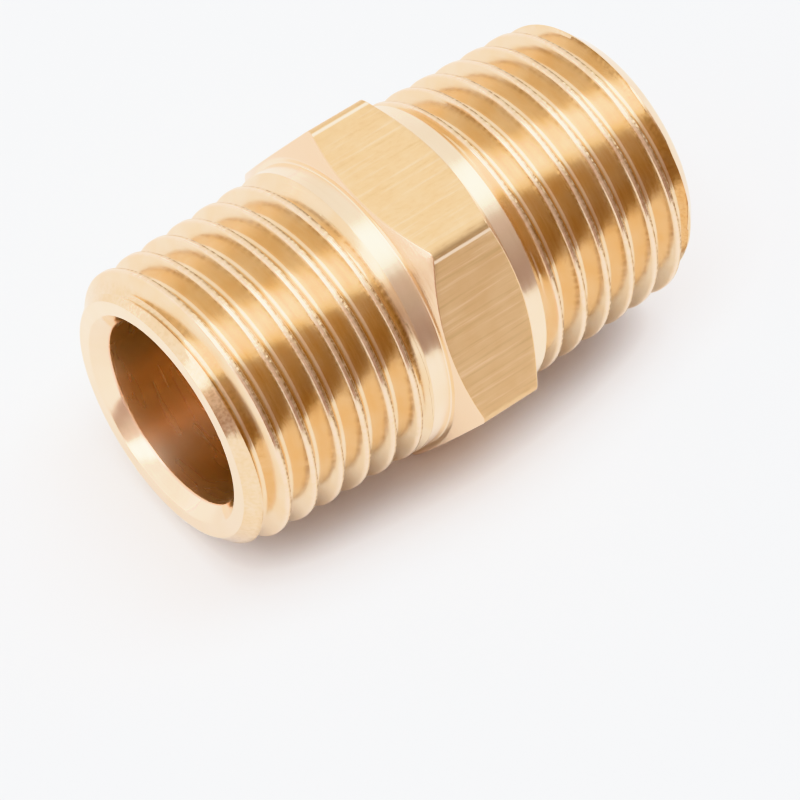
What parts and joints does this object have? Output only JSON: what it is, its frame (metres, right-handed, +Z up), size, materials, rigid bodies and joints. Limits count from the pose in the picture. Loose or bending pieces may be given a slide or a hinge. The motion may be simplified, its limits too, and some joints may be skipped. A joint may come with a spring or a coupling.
{
  "type": "hex nipple",
  "caption": "Straight brass pipe nipple: a short tube with a male taper thread on each end and a hexagon in the middle, joining two female-threaded fittings.",
  "frame": {"origin": "middle of the hexagon, on the axis of the bore, which is also the centre of the bounding box", "axes": "+X along the bore from one thread to the other, +Z up out of a hexagon flat, +Y out of a hexagon corner"},
  "size_m": [0.024, 0.016, 0.014],
  "materials": {
    "brass": "as turned, bright"
  },
  "bodies": {
    "root": {"hex_nipple_body": "brass"}
  },
  "joints": []
}
